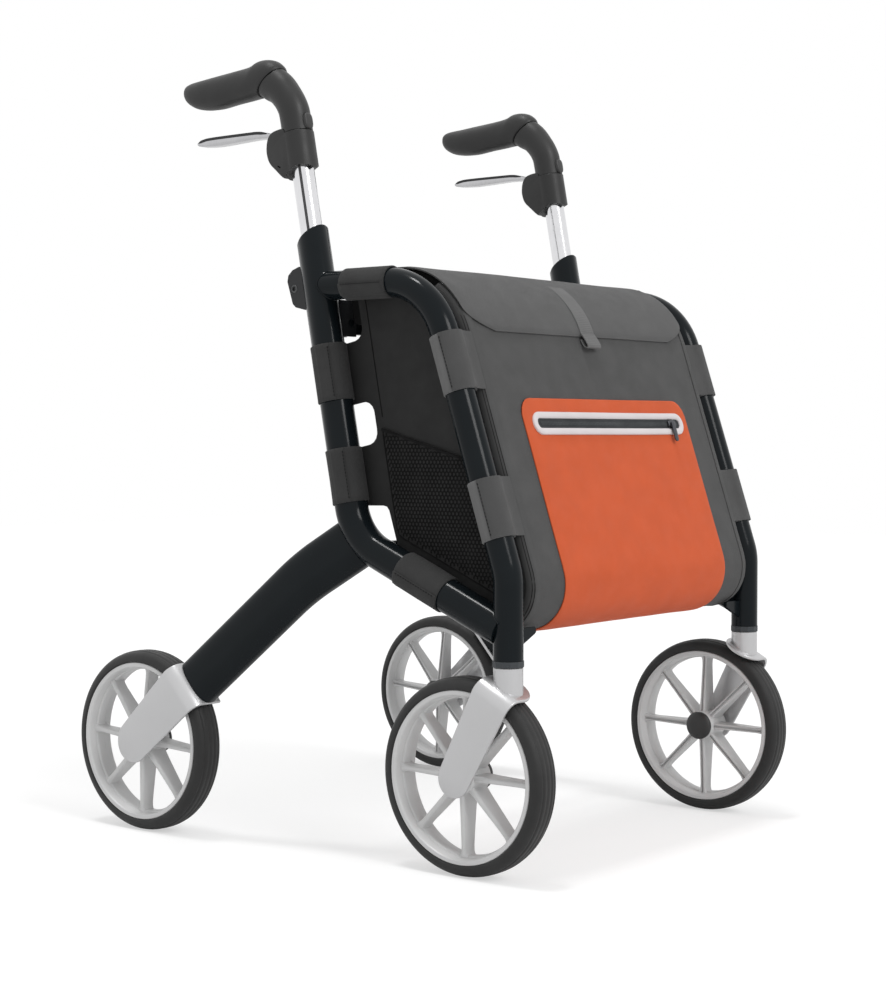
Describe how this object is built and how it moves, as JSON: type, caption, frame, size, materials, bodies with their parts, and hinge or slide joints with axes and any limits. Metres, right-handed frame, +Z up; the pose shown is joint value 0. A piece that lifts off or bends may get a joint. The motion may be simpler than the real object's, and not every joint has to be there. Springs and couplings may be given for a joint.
{
  "type": "shopping rollator",
  "caption": "Walking aid with two folding side frames, turning front wheels, braked height-set handles and a large front bag.",
  "frame": {"origin": "centre of the footprint, on the floor", "axes": "+Z up, front at -Y, the user's right hand at -X"},
  "size_m": [0.578, 0.6246, 0.8378],
  "materials": {
    "frame_paint": "gloss near-black blue paint",
    "bright_steel": "bright plated",
    "plain_steel": "bright, brushed lengthwise",
    "rim_plastic": "silver grey, satin",
    "tyre_rubber": "matte",
    "shoe_rubber": "matte",
    "dark_plastic": "satin",
    "grip_rubber": "soft satin",
    "cap_plastic": "satin",
    "bag_cloth": "woven",
    "flap_cloth": "woven",
    "side_cloth": "woven",
    "net_cloth": "net",
    "strap_webbing": "webbing",
    "orange_cloth": "woven",
    "zip_edge": "satin"
  },
  "bodies": {
    "frame_right": {"upright_tube_right": "frame_paint", "front_tube_right": "frame_paint", "rear_leg_right": "frame_paint", "guide_bush_right": "dark_plastic", "stem_seal_right": "dark_plastic", "rear_fork_right": "bright_steel", "rear_axle_right": "cap_plastic", "fold_bracket_right": "dark_plastic", "side_panel_right": "side_cloth", "mesh_pocket_right": "net_cloth", "bag_shell": "bag_cloth", "front_pocket": "orange_cloth", "zip_surround": "zip_edge"},
    "frame_left": {"upright_tube_left": "frame_paint", "front_tube_left": "frame_paint", "rear_leg_left": "frame_paint", "guide_bush_left": "dark_plastic", "stem_seal_left": "dark_plastic", "rear_fork_left": "bright_steel", "rear_axle_left": "cap_plastic", "fold_bracket_left": "dark_plastic", "side_panel_left": "side_cloth", "mesh_pocket_left": "net_cloth"},
    "upper_arm_right": {"upper_arm_right": "frame_paint", "upper_centre_pin": "plain_steel"},
    "upper_arm_left": {"upper_arm_left": "frame_paint"},
    "lower_arm_right": {"lower_arm_right": "frame_paint", "lower_centre_pin": "plain_steel"},
    "lower_arm_left": {"lower_arm_left": "frame_paint"},
    "flap": {"bag_flap": "flap_cloth", "flap_strap": "strap_webbing"},
    "zip_slider": {"zip_slider": "cap_plastic"},
    "handle_right": {"telescopic_tube_right": "plain_steel", "handle_neck_right": "dark_plastic", "hand_grip_right": "grip_rubber", "brake_housing_right": "dark_plastic"},
    "brake_lever_right": {"brake_lever_right": "bright_steel"},
    "height_button_right": {"height_button_right": "cap_plastic"},
    "brake_shoe_right": {"brake_shoe_right": "shoe_rubber"},
    "caster_right": {"caster_fork_right": "bright_steel", "caster_stem_right": "plain_steel", "front_axle_right": "cap_plastic"},
    "front_wheel_right": {"front_rim_right": "rim_plastic", "front_tyre_right": "tyre_rubber"},
    "rear_wheel_right": {"rear_rim_right": "rim_plastic", "rear_tyre_right": "tyre_rubber"},
    "handle_left": {"telescopic_tube_left": "plain_steel", "handle_neck_left": "dark_plastic", "hand_grip_left": "grip_rubber", "brake_housing_left": "dark_plastic"},
    "brake_lever_left": {"brake_lever_left": "bright_steel"},
    "height_button_left": {"height_button_left": "cap_plastic"},
    "brake_shoe_left": {"brake_shoe_left": "shoe_rubber"},
    "caster_left": {"caster_fork_left": "bright_steel", "caster_stem_left": "plain_steel", "front_axle_left": "cap_plastic"},
    "front_wheel_left": {"front_rim_left": "rim_plastic", "front_tyre_left": "tyre_rubber"},
    "rear_wheel_left": {"rear_rim_left": "rim_plastic", "rear_tyre_left": "tyre_rubber"}
  },
  "joints": [
    {"name": "upper_arm_right_fold", "type": "hinge", "parent": "frame_right", "child": "upper_arm_right", "pos_m": [-0.195, -0.0207, 0.558], "axis": [0, -1, 0], "range_deg": [0, 72], "deforming": ["bag_shell", "front_pocket", "zip_surround", "bag_flap", "flap_strap", "zip_slider"]},
    {"name": "upper_arm_left_fold", "type": "hinge", "parent": "upper_arm_right", "child": "upper_arm_left", "pos_m": [0, -0.0207, 0.558], "axis": [0, -1, 0], "range_deg": [-144, 0]},
    {"name": "frame_left_fold", "type": "hinge", "parent": "upper_arm_left", "child": "frame_left", "pos_m": [0.195, -0.0207, 0.558], "axis": [0, -1, 0], "range_deg": [0, 72]},
    {"name": "lower_arm_right_fold", "type": "hinge", "parent": "frame_right", "child": "lower_arm_right", "pos_m": [-0.195, -0.03, 0.316], "axis": [0, -1, 0], "range_deg": [0, 72]},
    {"name": "lower_arm_left_fold", "type": "hinge", "parent": "lower_arm_right", "child": "lower_arm_left", "pos_m": [0, -0.03, 0.316], "axis": [0, -1, 0], "range_deg": [-144, 0]},
    {"name": "handle_height_right", "type": "slide", "parent": "frame_right", "child": "handle_right", "axis": [0, 0.1874, 0.9823], "range_m": [-0.05, 0.07]},
    {"name": "height_button_right_press", "type": "slide", "parent": "handle_right", "child": "height_button_right", "axis": [0, 0.9823, -0.1874], "range_m": [0, 0.002], "stiffness_N_per_m": 400, "springref_m": -0.004},
    {"name": "brake_lever_right_squeeze", "type": "hinge", "parent": "handle_right", "child": "brake_lever_right", "pos_m": [-0.228, 0.0371, 0.7405], "axis": [1, 0, 0], "range_deg": [0, 10], "stiffness_Nm_per_rad": 1, "springref_deg": -17.19},
    {"name": "brake_shoe_right_press", "type": "slide", "parent": "frame_right", "child": "brake_shoe_right", "axis": [0, 0.7513, -0.66], "range_m": [0, 0.0017]},
    {"name": "caster_right_swivel", "type": "hinge", "parent": "frame_right", "child": "caster_right", "pos_m": [-0.228, -0.2618, 0.219], "axis": [0, 0, 1], "continuous": true},
    {"name": "front_wheel_right_spin", "type": "hinge", "parent": "caster_right", "child": "front_wheel_right", "pos_m": [-0.228, -0.2123, 0.1], "axis": [1, 0, 0], "continuous": true},
    {"name": "rear_wheel_right_spin", "type": "hinge", "parent": "frame_right", "child": "rear_wheel_right", "pos_m": [-0.2633, 0.2123, 0.1], "axis": [1, 0, 0], "continuous": true},
    {"name": "handle_height_left", "type": "slide", "parent": "frame_left", "child": "handle_left", "axis": [0, 0.1874, 0.9823], "range_m": [-0.05, 0.07]},
    {"name": "height_button_left_press", "type": "slide", "parent": "handle_left", "child": "height_button_left", "axis": [0, 0.9823, -0.1874], "range_m": [0, 0.002], "stiffness_N_per_m": 400, "springref_m": -0.004},
    {"name": "brake_lever_left_squeeze", "type": "hinge", "parent": "handle_left", "child": "brake_lever_left", "pos_m": [0.228, 0.0371, 0.7405], "axis": [1, 0, 0], "range_deg": [0, 10], "stiffness_Nm_per_rad": 1, "springref_deg": -17.19},
    {"name": "brake_shoe_left_press", "type": "slide", "parent": "frame_left", "child": "brake_shoe_left", "axis": [0, 0.7513, -0.66], "range_m": [0, 0.0017]},
    {"name": "caster_left_swivel", "type": "hinge", "parent": "frame_left", "child": "caster_left", "pos_m": [0.228, -0.2618, 0.219], "axis": [0, 0, 1], "continuous": true},
    {"name": "front_wheel_left_spin", "type": "hinge", "parent": "caster_left", "child": "front_wheel_left", "pos_m": [0.228, -0.2123, 0.1], "axis": [1, 0, 0], "continuous": true},
    {"name": "rear_wheel_left_spin", "type": "hinge", "parent": "frame_left", "child": "rear_wheel_left", "pos_m": [0.2633, 0.2123, 0.1], "axis": [1, 0, 0], "continuous": true},
    {"name": "bag_flap_open", "type": "hinge", "parent": "frame_right", "child": "flap", "pos_m": [0, -0.046, 0.6093], "axis": [-1, 0, 0], "range_deg": [0, 100]},
    {"name": "zip_slider_run", "type": "slide", "parent": "frame_right", "child": "zip_slider", "axis": [-1, 0, 0], "range_m": [0, 0.234]}
  ],
  "couplings": [
    {"joint": "upper_arm_left_fold", "follows": "upper_arm_right_fold", "ratio": -2},
    {"joint": "frame_left_fold", "follows": "upper_arm_right_fold", "ratio": 1},
    {"joint": "lower_arm_right_fold", "follows": "upper_arm_right_fold", "ratio": 1},
    {"joint": "lower_arm_left_fold", "follows": "upper_arm_right_fold", "ratio": -2},
    {"joint": "brake_shoe_right_press", "follows": "brake_lever_right_squeeze", "m_per_rad": 0.00974},
    {"joint": "brake_shoe_left_press", "follows": "brake_lever_left_squeeze", "m_per_rad": 0.00974}
  ]
}
